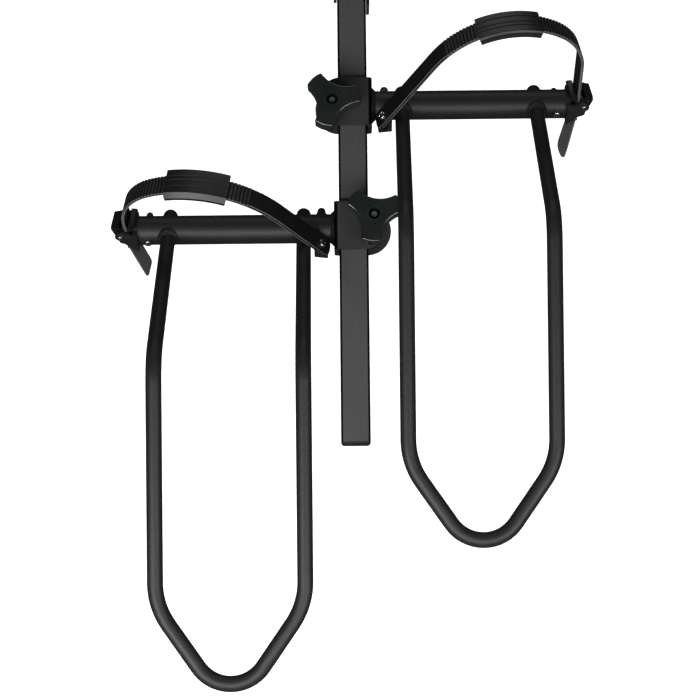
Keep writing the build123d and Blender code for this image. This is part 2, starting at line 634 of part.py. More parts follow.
def lug_parts(side):
    name = NAME[side]
    plane = strap_plane(side)
    pin_x, pin_y = STRAP_LINE + PIN_PAST_STRAP, PIN_ABOVE
    end = across(side, 0)
    face = Plane(origin=(side * TUBE_END, holder_y(side), 0), x_dir=end.z_dir, z_dir=(side, 0, 0))
    drift = ANCHOR_FRONT * (BUCKLE_OUT - TUBE_END) / (BUCKLE_OUT - ANCHOR_OUT)
    ear_inner = STRAP[0] / 2 + 2 * SIDE_FIT + CHEEK_PLATE
    ear_outer = ear_inner + LUG_EAR
    with BuildPart() as lug:
        # two ears square to the buckle's pin, cut off flush with the tube's end
        for way in (-1, 1):
            with BuildSketch(plane.offset(way * ear_inner)):
                with Locations((pin_x, pin_y)):
                    Circle(LUG_NOSE)
                with Locations((TUBE_END - ANCHOR_OUT, 0)):
                    Rectangle(2, LUG_HEIGHT)
                make_hull()
            extrude(amount=way * LUG_EAR)
        with BuildSketch(face):
            Circle(TUBE * 2)
        extrude(amount=-TUBE, mode=Mode.SUBTRACT)
        with BuildSketch(face):
            Circle(HALF_TUBE)
            with Locations((drift, 0)):
                RectangleRounded(2 * ear_outer, LUG_HEIGHT, LUG_NOSE)
        extrude(amount=FLANGE)
        with BuildSketch(face):
            Circle(HALF_TUBE - TUBE_WALL - HOLE_FIT / 2)
        extrude(amount=-(LUG_SCREW_IN + LUG_SCREW + 4))
        with BuildSketch(across(side, TUBE_END - LUG_SCREW_IN)):
            Circle(LUG_SCREW / 2 + HOLE_FIT)
        extrude(amount=TUBE, both=True, mode=Mode.SUBTRACT)
        with BuildSketch(plane):
            with Locations((pin_x, pin_y)):
                Circle(BUCKLE_PIN / 2 + PIN_FIT)
        extrude(amount=TUBE, both=True, mode=Mode.SUBTRACT)
    save(lug, f"{name}_strap_lug")

    bolt = across(side, TUBE_END - LUG_SCREW_IN)
    behind = Plane(origin=bolt.origin, x_dir=(1, 0, 0), z_dir=-bolt.z_dir)
    pan_screw(f"{name}_lug_screw", bolt.offset(HALF_TUBE), LUG_SCREW_HEAD, LUG_SCREW, TUBE + LUG_NUT[1], 2)
    cap_nut(f"{name}_lug_nut", behind.offset(HALF_TUBE), *LUG_NUT, LUG_SCREW)

    front = Plane(origin=plane.from_local_coords((pin_x, pin_y, 0)), x_dir=plane.x_dir, z_dir=plane.z_dir * side)
    rear = Plane(origin=front.origin, x_dir=plane.x_dir, z_dir=-front.z_dir)
    reach = 2 * ear_outer + PIN_NUT[1]
    pan_screw(f"{name}_buckle_pin", front.offset(ear_outer), PIN_HEAD, BUCKLE_PIN, reach, 1)
    with BuildPart() as pin_nut:
        with BuildSketch(rear.offset(ear_outer)):
            Circle(PIN_NUT[0] / 2)
            Circle(BUCKLE_PIN / 2 + PIN_FIT, mode=Mode.SUBTRACT)
        extrude(amount=PIN_NUT[1])
    save(pin_nut, f"{name}_buckle_pin_nut")


def buckle_parts(side):
    name = NAME[side]
    plane = strap_plane(side)
    wide, thick = STRAP
    line = STRAP_LINE
    pin_x, pin_y = line + PIN_PAST_STRAP, PIN_ABOVE
    channel = wide / 2 + SIDE_FIT
    floor_top = line - thick / 2 - SIDE_FIT
    lip_back, lip_top, lip_wall = floor_top - BASE_LIP[0], BASE_TOP + BASE_LIP[1], 2 * CHEEK_PLATE
    pawl_x, pawl_y = line + HOLD_PIVOT[0], HOLD_PIVOT[1]
    drive_x, drive_y = pin_x + DRIVE_PIVOT[0], pin_y + DRIVE_PIVOT[1]
    strap_top = line + thick / 2 + SLIDE_FIT

    with BuildPart() as base:
        with BuildSketch(plane):
            with BuildLine():
                Polyline(
                    (floor_top, -BASE_FOOT), (floor_top, lip_top - 2 * BASE_EASE), (floor_top - BASE_EASE, lip_top),
                    (lip_back + BASE_EASE, lip_top), (lip_back, lip_top - BASE_EASE), (lip_back, lip_top - lip_wall),
                    (floor_top - CHEEK_PLATE, BASE_TOP), (floor_top - CHEEK_PLATE, -BASE_FOOT), close=True,
                )
            make_face()
        extrude(amount=channel + CHEEK_PLATE, both=True)
        for way in (-1, 1):
            with BuildSketch(plane.offset(way * channel)):
                with Locations((pin_x, pin_y)):
                    Circle(BUCKLE_PIN / 2 + PIN_BOSS)
                with Locations((pawl_x, pawl_y)):
                    Circle(PAWL_PIN / 2 + PAWL_BOSS)
                with Locations((floor_top - CHEEK_PLATE / 2, (BASE_TOP - BASE_FOOT) / 2)):
                    Rectangle(CHEEK_PLATE, BASE_TOP + BASE_FOOT)
                make_hull()
                with Locations((pin_x, pin_y)):
                    Circle(BUCKLE_PIN / 2 + PIN_FIT, mode=Mode.SUBTRACT)
                with Locations((pawl_x, pawl_y)):
                    Circle(PAWL_PIN / 2 + PIN_FIT, mode=Mode.SUBTRACT)
            extrude(amount=way * CHEEK_PLATE)
    save(base, f"{name}_buckle_base")

    # the lever is a bent cover with an arm down each side, inside the base's cheeks
    arm_outer = channel - SIDE_FIT
    arm_inner = arm_outer - LEVER_WALL
    ear = PIN_PAST_STRAP - thick / 2 - SLIDE_FIT
    cover = [(pin_x + x, pin_y + y) for x, y in LEVER_COVER]
    inside = [(pin_x + x, pin_y + y) for x, y in LEVER_INSIDE]
    behind, above, below = LEVER_OPEN
    across_strap = place(side, 0, 0, 90)
    corner = arm_outer + cover[2][0] - LEVER_CUT

    def past_corner(reach):
        # the triangle past a slanting line across the cover's front corner
        return (side * TUBE, reach - TUBE), (side * TUBE, reach + TUBE), (-side * TUBE, reach + TUBE)

    with BuildPart() as hollow:
        with BuildSketch(plane):
            with BuildLine():
                Polyline(
                    (pin_x - behind, pin_y + above), *inside, (inside[-1][0], pin_y - below),
                    (pin_x - behind, pin_y - below), close=True,
                )
            make_face()
        extrude(amount=arm_inner, both=True)
        with BuildSketch(across_strap):
            with BuildLine():
                Polyline(*past_corner(corner - LEVER_WALL * sqrt(2)), close=True)
            make_face()
        extrude(amount=TUBE, both=True, mode=Mode.SUBTRACT)
    with BuildPart() as lever:
        with BuildSketch(plane):
            with BuildLine():
                Polyline((pin_x - ear / 2, pin_y + ear), *cover, (pin_x + ear / 4, pin_y - ear), close=True)
            make_face()
            with Locations((pin_x, pin_y)):
                Circle(ear)
        extrude(amount=arm_outer, both=True)
        with BuildSketch(across_strap):
            with BuildLine():
                Polyline(*past_corner(corner), close=True)
            make_face()
        extrude(amount=TUBE, both=True, mode=Mode.SUBTRACT)
        add(hollow.part, mode=Mode.SUBTRACT)
        with BuildSketch(plane):
            with Locations((pin_x, pin_y)):
                Circle(BUCKLE_PIN / 2 + PIN_FIT)
            with Locations((drive_x, drive_y)):
                Circle(PAWL_PIN / 2 + PIN_FIT)
        extrude(amount=TUBE, both=True, mode=Mode.SUBTRACT)
    save(lever, f"{name}_ratchet_lever")

    # each pawl is a plate with a tooth, on a pin moulded across it
    pawl_half = arm_inner - SIDE_FIT
    with BuildPart() as drive_pawl:
        with BuildSketch(plane):
            with BuildLine():
                Polyline(
                    *[(drive_x + x, drive_y + y) for x, y in DRIVE_ARM[:2]],
                    *[(strap_top + x, pin_y + y) for x, y in DRIVE_TOOTH],
                    (drive_x + DRIVE_ARM[2][0], drive_y + DRIVE_ARM[2][1]), close=True,
                )
            make_face()
        extrude(amount=pawl_half, both=True)
        with BuildSketch(plane):
            with Locations((drive_x, drive_y)):
                Circle(PAWL_PIN / 2)
        extrude(amount=arm_outer, both=True)
    save(drive_pawl, f"{name}_drive_pawl")

    with BuildPart() as holding_pawl:
        with BuildSketch(plane):
            with BuildLine():
                Polyline(
                    *[(pawl_x + x, pawl_y + y) for x, y in HOLD_ARM],
                    *[(strap_top + x, pawl_y + y) for x, y in HOLD_TOOTH], close=True,
                )
            make_face()
        extrude(amount=pawl_half, both=True)
        with BuildSketch(plane):
            with Locations((pawl_x, pawl_y)):
                Circle(PAWL_PIN / 2)
        extrude(amount=channel + CHEEK_PLATE, both=True)
    save(holding_pawl, f"{name}_holding_pawl")


def anchor_parts(side):
    name = NAME[side]
    plane = strap_plane(side)
    bolt = across(side, ANCHOR_OUT + ANCHOR_BOLT_IN)
    slope = tan(radians(strap_start_angle(side)))
    fall = STRAP[1] / 2 / cos(radians(strap_start_angle(side)))

    def under(x):
        return STRAP_START[1] + (x - STRAP_START[0]) * slope - fall

    back, front = side * (ANCHOR_FRONT - HALF_TUBE + 6), side * ANCHOR_NOSE
    low, high = ANCHOR_SPAN
    with BuildPart() as block:
        with BuildSketch(plane.offset(-back)):
            with BuildLine():
                Polyline((low, -ANCHOR_DEEP), (high, -ANCHOR_DEEP), (high, under(high)), (low, under(low)), close=True)
            make_face()
        extrude(amount=back + front)
        tube = Plane(origin=(0, holder_y(side), 0), x_dir=(0, 1, 0), z_dir=(side, 0, 0))
        with BuildSketch(tube):
            Circle(HALF_TUBE)
        extrude(amount=TUBE_END, mode=Mode.SUBTRACT)
        with BuildSketch(bolt):
            Circle(ANCHOR_BOLT / 2 + HOLE_FIT)
        extrude(amount=TUBE * 2, mode=Mode.SUBTRACT)
        with BuildSketch(bolt.offset(HALF_TUBE + ANCHOR_SEAT)):
            Circle(ANCHOR_HEAD[0] / 2 + HOLE_FIT)
        extrude(amount=TUBE * 2, mode=Mode.SUBTRACT)
        with BuildSketch(strap_screw_plane(side)):
            Circle(STRAP_SCREW / 2 + PIN_FIT)
        extrude(amount=-STRAP_SCREW_LENGTH, mode=Mode.SUBTRACT)
    save(block, f"{name}_anchor_block")

    seat = bolt.offset(HALF_TUBE + ANCHOR_SEAT)
    head_wide, head_high = ANCHOR_HEAD
    with BuildPart() as anchor_bolt:
        with BuildSketch(seat):
            Circle(head_wide / 2)
            RegularPolygon(head_wide * 0.28, 6, mode=Mode.SUBTRACT)
        extrude(amount=head_high)
        with BuildSketch(seat):
            Circle(head_wide / 2)
        extrude(amount=head_high / 2)
        with BuildSketch(seat):
            Circle(ANCHOR_BOLT / 2)
        extrude(amount=-(TUBE + ANCHOR_SEAT + ANCHOR_NUT[1]))
    save(anchor_bolt, f"{name}_anchor_bolt")
    behind = Plane(origin=bolt.origin, x_dir=(1, 0, 0), z_dir=-bolt.z_dir)
    cap_nut(f"{name}_anchor_nut", behind.offset(HALF_TUBE), *ANCHOR_NUT, ANCHOR_BOLT)
    pan_screw(f"{name}_strap_screw", strap_screw_plane(side), STRAP_SCREW_HEAD, STRAP_SCREW, STRAP_SCREW_LENGTH, 2)


bar_parts()
hub_parts()
for holder in (-1, 1):
    clamp_parts(holder)
    tube_parts(holder)
    strap_parts(holder)
    lug_parts(holder)
    buckle_parts(holder)
    anchor_parts(holder)
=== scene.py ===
# %% [markdown]
# # A hitch bike rack's arm in Blender
#
# The object is one arm of a hitch bike rack: a square steel bar with two wheel holders clamped to it.
# Each holder is a round cross tube with a bent hoop, a hand knob, and a ladder strap that a ratchet
# buckle pulls tight. All the hard parts come from the CAD model, at their real size, so this lesson
# is about the camera, the light, the finishes and the two soft pieces: the strap and its rubber pad.

# %% Load the frame
from math import acos, atan2, cos, degrees, hypot, pi, radians, sin, tan

import bmesh
import bpy
from mathutils import Matrix, Vector


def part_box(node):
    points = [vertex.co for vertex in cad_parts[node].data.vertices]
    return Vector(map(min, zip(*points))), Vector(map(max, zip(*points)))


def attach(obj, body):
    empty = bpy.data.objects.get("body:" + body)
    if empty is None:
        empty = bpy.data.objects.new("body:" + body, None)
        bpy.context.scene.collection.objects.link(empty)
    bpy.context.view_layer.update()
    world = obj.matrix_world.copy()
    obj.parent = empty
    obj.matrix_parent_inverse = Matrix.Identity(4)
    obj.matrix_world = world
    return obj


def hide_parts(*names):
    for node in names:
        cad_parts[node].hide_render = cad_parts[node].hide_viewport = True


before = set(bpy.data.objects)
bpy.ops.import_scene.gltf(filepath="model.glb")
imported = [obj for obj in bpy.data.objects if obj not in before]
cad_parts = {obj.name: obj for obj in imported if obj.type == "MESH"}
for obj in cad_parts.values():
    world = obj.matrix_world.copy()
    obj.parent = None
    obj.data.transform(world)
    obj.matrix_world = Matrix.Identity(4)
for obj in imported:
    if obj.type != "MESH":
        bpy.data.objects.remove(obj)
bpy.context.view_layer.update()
scene = bpy.context.scene
MM = 0.001
NAME = {-1: "left", 1: "right"}


def to_object(bm, name):
    """Turns a finished bmesh into an object of the scene."""
    mesh = bpy.data.meshes.new(name)
    bm.to_mesh(mesh)
    bm.free()
    made = bpy.data.objects.new(name, mesh)
    scene.collection.objects.link(made)
    return made


print("pieces from the CAD model:", len(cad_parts))

# %% [markdown]
# ## The camera
#
# The photograph looks almost straight down at the arm. The camera's focal length and place were fitted
# so that the CAD model, at the size that it was given, falls on the photograph's outlines.
# The lens is a short telephoto, about 81 mm on a 36 mm sensor, 1.7 m from the arm, and the camera is
# tipped 7 degrees from straight down and turned half a degree. A camera object looks along its own -Z,
# so its matrix is built from three directions: right, up and back towards the photographer.

# %% Place the camera
PHOTO_WIDE = 700
FOCAL_PIXELS = 1580.1
SENSOR_MM = 36
ELEVATION = radians(83.314)
DISTANCE = 1720.96 * MM
TARGET = Vector((-5.431, -505.502, 0)) * MM
ROLL = radians(0.581)

back = Vector((0, -cos(ELEVATION), sin(ELEVATION)))
level_up = Vector((0, sin(ELEVATION), cos(ELEVATION)))
right = Vector((1, 0, 0)) * cos(ROLL) - level_up * sin(ROLL)
up = Vector((1, 0, 0)) * sin(ROLL) + level_up * cos(ROLL)
camera_data = bpy.data.cameras.new("camera")
camera_data.sensor_width = SENSOR_MM
camera_data.lens = FOCAL_PIXELS * SENSOR_MM / PHOTO_WIDE
camera_data.clip_end = 20
camera = bpy.data.objects.new("camera", camera_data)
facing = Matrix((right, up, back)).transposed().to_4x4()
camera.matrix_world = Matrix.Translation(TARGET + back * DISTANCE) @ facing
scene.collection.objects.link(camera)
scene.camera = camera
print("lens in mm:", round(camera_data.lens, 2))

# %% [markdown]
# ## The light
#
# A product photographer lights black metal with a few soft boxes and lets the rest of the room go dark:
# each box draws a soft band down a tube, and the dark room draws the black outline round each edge. The
# bands on the two hoops lean outwards, so one box stands at the front left and one at the front right,
# both about a metre up. A third stands in front, for the cross tubes and the pads, and a weak one low
# behind the arm draws the slanted legs. The floor is white and gives off a light of its own, but only
# the camera sees it, so it doesn't grey the sides of the tubes.

# %% Light and floor
FLOOR_BELOW = 420 * MM
FLOOR_SIZE = 2600 * MM
ARM_MIDDLE = Vector((0, -0.45, 0))
DARK_ROOM = (0.042, 0.042, 0.042, 1)


def soft_light(name, place, aim, width, depth, watts):
    data = bpy.data.lights.new(name, "AREA")
    data.shape = "RECTANGLE"
    data.size, data.size_y = width, depth
    data.energy = watts
    light = bpy.data.objects.new(name, data)
    light.location = place
    light.rotation_euler = (Vector(aim) - Vector(place)).to_track_quat("-Z", "Y").to_euler()
    scene.collection.objects.link(light)


soft_light("left_softbox", (-0.68, -1.22, 1.06), (0, -0.55, 0.05), 0.7, 0.7, 11.0)
soft_light("right_softbox", (0.76, -1.12, 1.08), (0, -0.50, 0.05), 0.7, 0.7, 7.4)
soft_light("front_softbox", (0, -1.40, 1.20), (0, -0.42, 0.05), 0.7, 0.7, 6.0)
soft_light("back_softbox", (0.10, 1.50, 0.60), (0.05, -0.30, 0), 1.4, 0.7, 3.2)

world = bpy.data.worlds.new("studio")
world.use_nodes = True
tree = world.node_tree
dark = tree.nodes["Background"]
dark.inputs["Color"].default_value = DARK_ROOM
white = tree.nodes.new("ShaderNodeBackground")
white.inputs["Color"].default_value = (1, 1, 1, 1)
seen = tree.nodes.new("ShaderNodeLightPath")
choose = tree.nodes.new("ShaderNodeMixShader")
tree.links.new(seen.outputs["Is Camera Ray"], choose.inputs["Fac"])
tree.links.new(dark.outputs["Background"], choose.inputs[1])
tree.links.new(white.outputs["Background"], choose.inputs[2])
tree.links.new(choose.outputs["Shader"], tree.nodes["World Output"].inputs["Surface"])
scene.world = world
scene.view_settings.view_transform = "Standard"
scene.view_settings.look = "None"

bm = bmesh.new()
bmesh.ops.create_grid(bm, x_segments=1, y_segments=1, size=FLOOR_SIZE / 2)
bmesh.ops.translate(bm, verts=bm.verts, vec=ARM_MIDDLE + Vector((0, 0, -FLOOR_BELOW)))
floor = to_object(bm, "floor")
floor.visible_glossy = False
floor.visible_diffuse = False

# %% [markdown]
# ## Helpers for materials
#
# Every finish below is a Principled shader with a few texture nodes. Colours are written as the sRGB hex
# values that a paint card would give, and one function turns them into the linear light that Blender
# works in. One small function adds a node, sets it and links it. Patterns read Object coordinates, which
# are metres here, so a grain of 0.4 mm needs a texture scale of 1 / 0.0004.


# %% Colours and nodes
def linear(code):
    """Linear RGBA of an sRGB hex colour."""
    parts = [int(code[i:i + 2], 16) / 255 for i in (0, 2, 4)]
    return tuple(c / 12.92 if c <= 0.04045 else ((c + 0.055) / 1.055) ** 2.4 for c in parts) + (1.0,)


def per(size_mm):
    """Texture scale for a pattern of this size."""
    return 1 / (size_mm * MM)


def add(tree, kind, settings=(), **inputs):
    """Adds a node. settings are its own fields, and inputs are socket values or the sockets to link.

    A socket without a name of its own is given by its number, as i0, i1 and so on.
    """
    node = tree.nodes.new(kind)
    for field, value in dict(settings).items():
        setattr(node, field, value)
    for name, value in inputs.items():
        numbered = name[0] == "i" and name[1:].isdigit()
        socket = node.inputs[int(name[1:]) if numbered else name.replace("_", " ")]
        if isinstance(value, bpy.types.NodeSocket):
            tree.links.new(value, socket)
        else:
            socket.default_value = value
    return node


def finish(name, **values):
    """A new material with a Principled shader, and the tree, shader and object coordinates to build on."""
    material = bpy.data.materials.new(name)
    material.use_nodes = True
    tree = material.node_tree
    shader = tree.nodes["Principled BSDF"]
    for field, value in values.items():
        shader.inputs[field.replace("_", " ")].default_value = value
    place = add(tree, "ShaderNodeTexCoord").outputs["Object"]
    return material, tree, shader, place


def ramp(tree, factor, low, high, start=0.35, end=0.65):
    """Two colours or greys, blended by a texture's value."""
    node = add(tree, "ShaderNodeValToRGB", Fac=factor)
    node.color_ramp.elements[0].position = start
    node.color_ramp.elements[1].position = end
    node.color_ramp.elements[0].color = low if isinstance(low, tuple) else (low, low, low, 1)
    node.color_ramp.elements[1].color = high if isinstance(high, tuple) else (high, high, high, 1)
    return node.outputs["Color"]


def bump(tree, shader, height, depth_mm, rounding_mm=0.0):
    """Raises a texture on the surface, and rounds the sharp edges to a highlight."""
    node = add(tree, "ShaderNodeBump", Height=height, Distance=depth_mm * MM)
    if rounding_mm:
        edge = add(tree, "ShaderNodeBevel", {"samples": 4}, Radius=rounding_mm * MM)
        tree.links.new(edge.outputs["Normal"], node.inputs["Normal"])
    tree.links.new(node.outputs["Normal"], shader.inputs["Normal"])


floor_paper, tree, shader, place = finish("white_background_paper", Roughness=0.95)
shader.inputs["Specular IOR Level"].default_value = 0.0
shader.inputs["Emission Color"].default_value = (1, 1, 1, 1)
shader.inputs["Emission Strength"].default_value = 0.9
grain = add(tree, "ShaderNodeTexNoise", Vector=place, Scale=per(30), Detail=2)
paper = ramp(tree, grain.outputs["Fac"], linear("FBFBFB"), linear("FFFFFF"))
tree.links.new(paper, shader.inputs["Base Color"])
floor.data.materials.append(floor_paper)

# %% [markdown]
# ## Powder coat
#
# The bar, tubes and hoops are welded steel with a baked polyester powder coat. The powder melts into a
# skin that isn't quite flat: up close it has a fine orange peel, a little over a millimetre across, and
# the bar's coat is a fine-texture grade, grittier and greyer than the satin black of the holders. That
# texture spreads the highlights, so the finish looks soft even where it is nearly black. The clamp
# brackets have a darker grade of the same. Both square pieces show black corners, where the face rolls
# over towards the dark room, and the corner shade deepens that.


# %% Powder coat
def maths(tree, operation, *values):
    """The result of a maths node on one or two sockets."""
    inputs = {f"i{place}": value for place, value in enumerate(values)}
    return add(tree, "ShaderNodeMath", {"operation": operation}, **inputs).outputs[0]


def corner_shade(tree, colour):
    """A colour, and the shade that falls on it where a square piece's face rolls over into its corner."""
    normal = add(tree, "ShaderNodeSeparateXYZ", Vector=add(tree, "ShaderNodeTexCoord").outputs["Normal"])
    x, y, z = (maths(tree, "ABSOLUTE", part) for part in normal.outputs)
    most = maths(tree, "MAXIMUM", maths(tree, "MAXIMUM", x, y), z)
    shade = ramp(tree, most, 0.06, 1.0, 0.955, 0.995)
    multiply = {"data_type": "RGBA", "blend_type": "MULTIPLY"}
    mix = add(tree, "ShaderNodeMix", multiply, i0=1.0, i6=colour, i7=shade)
    return mix.outputs[2], shade


def powder_coat(name, colour, lighter, roughness, grit_mm, depth_mm, square=False):
    material, tree, shader, place = finish(name, Specular_IOR_Level=0.5)
    # the real grit is about 0.3 mm; the specks are drawn 1.6 mm wide, so that they show at this distance
    speck = add(tree, "ShaderNodeTexNoise", Vector=place, Scale=per(1.6), Detail=2)
    paint = ramp(tree, speck.outputs["Fac"], linear(colour), linear(lighter))
    if square:
        paint, shade = corner_shade(tree, paint)
        tree.links.new(shade, shader.inputs["Specular Tint"])
    tree.links.new(paint, shader.inputs["Base Color"])
    peel = add(tree, "ShaderNodeTexNoise", Vector=place, Scale=per(grit_mm), Detail=4, Roughness=0.6)
    dull = ramp(tree, peel.outputs["Fac"], roughness - 0.05, roughness + 0.07)
    tree.links.new(dull, shader.inputs["Roughness"])
    bump(tree, shader, peel.outputs["Fac"], depth_mm, 0.5)
    return material


arm_coat = powder_coat("fine_texture_powder_coat", "474646", "555454", 0.60, 0.9, 0.05, square=True)
bracket_coat = powder_coat("bracket_powder_coat", "2E2E2E", "393939", 0.55, 0.9, 0.05, square=True)
holder_coat = powder_coat("satin_black_powder_coat", "1C1C1D", "262627", 0.48, 1.4, 0.04)
weld_coat, tree, shader, place = finish("powder_coated_weld_bead", Roughness=0.46, Specular_IOR_Level=0.5)
shader.inputs["Base Color"].default_value = linear("1E1E1F")
ripple = add(tree, "ShaderNodeTexNoise", Vector=place, Scale=per(2.2), Detail=2, Distortion=0.6)
bump(tree, shader, ripple.outputs["Fac"], 0.5, 0.6)

# %% [markdown]
# ## Moulded plastics
#
# Each moulded piece copies the surface of its steel mould. The knob's mould is polished, so the nylon
# comes out of it glossy and quite smooth, with a faint green-blue tint. The end caps' mould is
# spark-eroded, which leaves a fine matt grain. The ladder strap is polyurethane, matt and slightly waxy.
# Its tail below the buckle is a lighter, duller grey. The same grey is painted along its edges as a painted
# highlight, and the crests of its rungs are painted lighter than the grooves between them as painted light.
# The pad is rubber with a light sheen.


# %% Plastics and rubber
def moulded(name, colour, lighter, roughness, grain_mm, depth_mm, specular=0.5, rounding_mm=0.4):
    material, tree, shader, place = finish(name, Specular_IOR_Level=specular)
    flow = add(tree, "ShaderNodeTexNoise", Vector=place, Scale=per(18), Detail=2)
    tint = ramp(tree, flow.outputs["Fac"], linear(colour), linear(lighter))
    tree.links.new(tint, shader.inputs["Base Color"])
    grain = add(tree, "ShaderNodeTexNoise", Vector=place, Scale=per(grain_mm), Detail=3)
    dull = ramp(tree, grain.outputs["Fac"], roughness - 0.04, roughness + 0.05)
    tree.links.new(dull, shader.inputs["Roughness"])
    bump(tree, shader, grain.outputs["Fac"], depth_mm, rounding_mm)
    return material


knob_nylon = moulded("polished_mould_nylon", "1A2020", "202726", 0.20, 12.0, 0.002, 1.0, 0.0)
cap_plastic = moulded("eroded_mould_polypropylene", "1E1E1F", "242425", 0.50, 0.7, 0.03)
strap_urethane = moulded("ladder_strap_polyurethane", "0E0E0F", "131314", 0.50, 0.8, 0.02, rounding_mm=0.2)
# light grey: a plain lighter grey on the tail, and a painted highlight on the strap's edges and rung ends
grey_and_highlight_urethane = moulded("polyurethane_grey_and_painted_highlight", "656566", "6E6E6F", 0.58, 0.8, 0.02, rounding_mm=0.2)
# lighter than the strap's web, as painted light on the rung crests against the shaded grooves
painted_light_crest_urethane = moulded("polyurethane_crest_painted_light", "2E2E2F", "373738", 0.55, 0.8, 0.02, rounding_mm=0.2)
pad_rubber = moulded("extruded_pad_rubber", "1A1A1A", "202020", 0.36, 0.8, 0.03)
acetal = moulded("natural_acetal", "D8D3C4", "DEDACD", 0.35, 1.0, 0.01)

# %% [markdown]
# ## Plated steel
#
# Screws, pins and pawls are zinc plated: a bright bluish-white metal whose plating is finely crystalline, so
# its shine is broken up. The clamp bolts' zinc is rougher, and painted darker as painted shade from the deep
# knob hole that its end sits in.
# Nuts and the pressed buckle are black: steel with a black passivated zinc, which is smoother and
# glossier than powder. A metal keeps the shader's default IOR, because its colour at normal incidence
# comes from its base colour. The black finish is a thick dark film, so it isn't set as a metal.


# %% Metals
def plated(name, colour, stained, roughness, grain_mm, metallic=1.0):
    material, tree, shader, place = finish(name, Metallic=metallic)
    patch = add(tree, "ShaderNodeTexNoise", Vector=place, Scale=per(4), Detail=3)
    tint = ramp(tree, patch.outputs["Fac"], linear(stained), linear(colour))
    tree.links.new(tint, shader.inputs["Base Color"])
    grain = add(tree, "ShaderNodeTexNoise", Vector=place, Scale=per(grain_mm), Detail=4)
    dull = ramp(tree, grain.outputs["Fac"], roughness - 0.06, roughness + 0.08)
    tree.links.new(dull, shader.inputs["Roughness"])
    bump(tree, shader, grain.outputs["Fac"], 0.01, 0.25)
    return material


zinc = plated("bright_zinc_plate", "D2D4D6", "B4B7BA", 0.15, 0.5)
# rougher zinc, painted darker as painted shade: the clamp bolt's end sits deep in the knob's hole
painted_shade_zinc = plated("zinc_plate_with_painted_shade", "A6A8AA", "7C7E80", 0.48, 0.5)
black_zinc = plated("black_passivated_zinc", "141415", "1A1A1B", 0.36, 0.6, metallic=0.0)

# %% [markdown]
# ## Dress the CAD pieces
#
# A CAD piece arrives as loose triangles. A Weld modifier joins them, smooth shading rounds the curved
# faces, and an Edge Split modifier keeps every corner sharper than 30 degrees crisp. A Weighted Normal
# modifier then lets the large faces set the shading, so that a flat face stays flat up to its fillet.
# The shape itself isn't touched.

# %% Give each CAD piece its finish
WELD_WITHIN = 0.002 * MM
FINISHES = {
    "arm_bar": arm_coat, "hinge_bracket": arm_coat, "bar_end_cap": cap_plastic,
    "pivot_bush": acetal, "pivot_washers": acetal, "pivot_bolt": black_zinc, "pivot_nut": black_zinc,
}
HOLDER_FINISHES = {
    "clamp_bracket": bracket_coat, "cross_tube": holder_coat, "wheel_hoop": holder_coat,
    "hoop_welds": weld_coat, "hoop_plugs": cap_plastic, "clamp_bolt": painted_shade_zinc,
    "clamp_washer": black_zinc, "knob": knob_nylon, "knob_insert": black_zinc,
    "strap": strap_urethane, "strap_pad": pad_rubber, "strap_screw": zinc,
    "strap_lug": cap_plastic, "lug_screw": zinc, "lug_nut": black_zinc,
    "buckle_base": black_zinc, "buckle_pin": zinc, "buckle_pin_nut": zinc,
    "ratchet_lever": black_zinc, "drive_pawl": zinc, "holding_pawl": zinc,
    "anchor_block": cap_plastic, "anchor_bolt": black_zinc, "anchor_nut": black_zinc,
}
for side in (-1, 1):
    for piece, coat in HOLDER_FINISHES.items():
        FINISHES[f"{NAME[side]}_{piece}"] = coat


def dress(piece, coat, sharp=30.0):
    piece.data.materials.clear()
    piece.data.materials.append(coat)
    for polygon in piece.data.polygons:
        polygon.material_index = 0
        polygon.use_smooth = True
    weld = piece.modifiers.new("weld", "WELD")
    weld.merge_threshold = WELD_WITHIN
    split = piece.modifiers.new("crisp_corners", "EDGE_SPLIT")
    split.split_angle = radians(sharp)
    piece.modifiers.new("even_shading", "WEIGHTED_NORMAL")


for name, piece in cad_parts.items():
    dress(piece, FINISHES[name])
print("dressed:", len(FINISHES))

# %% [markdown]
# ## Where the strap runs
#
# The strap lies in a plane of its own, which leans back from the cross tube. In that plane it rises in
# a slant from its anchor, goes round a large bend under the pad and then two smaller ones, and runs
# down through the buckle. The next cell repeats the CAD model's corners and bends and works out how
# long each straight and bend is. The free tail below the buckle is the exception: its tip, its slight
# twist and its cut corners follow the photograph, and the left tip lies about 10 mm from the CAD
# solid's. The plane's matrix then carries the finished strap to its place.

# %% The strap's plane and path
LEAN = {-1: 25.0, 1: 30.0}
ANCHOR = (32.0, 28.0)
BUCKLE_OUT = 248.0
STRAP_WIDE, STRAP_THICK = 24.0, 3.5
START = (-4.8, 1.0)
END_CORNER = 8.0
CREST = {-1: (107.6, 123.0, 116.0), 1: (108.2, 163.1, 98.0)}
SHOULDER = {-1: (222.3, 61.8, 58.0), 1: (214.6, 94.3, 58.0)}
BUCKLE_BEND = 28.0
LINE, ENTERS, TAIL_STARTS = 216.3, 18.0, 16.0
TAIL = {-1: (202.5, -71.0), 1: (208.5, -77.0)}
TAIL_TWIST = {-1: 1.0, 1: 6.0}
TAIL_CORNER = {-1: 5.0, 1: 9.0}


def strap_matrix(side):
    low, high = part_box(f"{NAME[side]}_cross_tube")
    y = (low[1] + high[1]) / 2
    lean = radians(LEAN[side])
    front = Vector((0, -cos(lean), sin(lean)))
    anchor = Vector((side * ANCHOR[0] * MM, y, 0)) + front * ANCHOR[1] * MM
    along = (Vector((side * BUCKLE_OUT * MM, y, 0)) - anchor).normalized()
    rise = Vector((0, sin(lean), cos(lean)))
    turn = Matrix((along, rise, along.cross(rise))).transposed().to_4x4()
    return Matrix.Translation(anchor) @ turn @ Matrix.Scale(MM, 4)


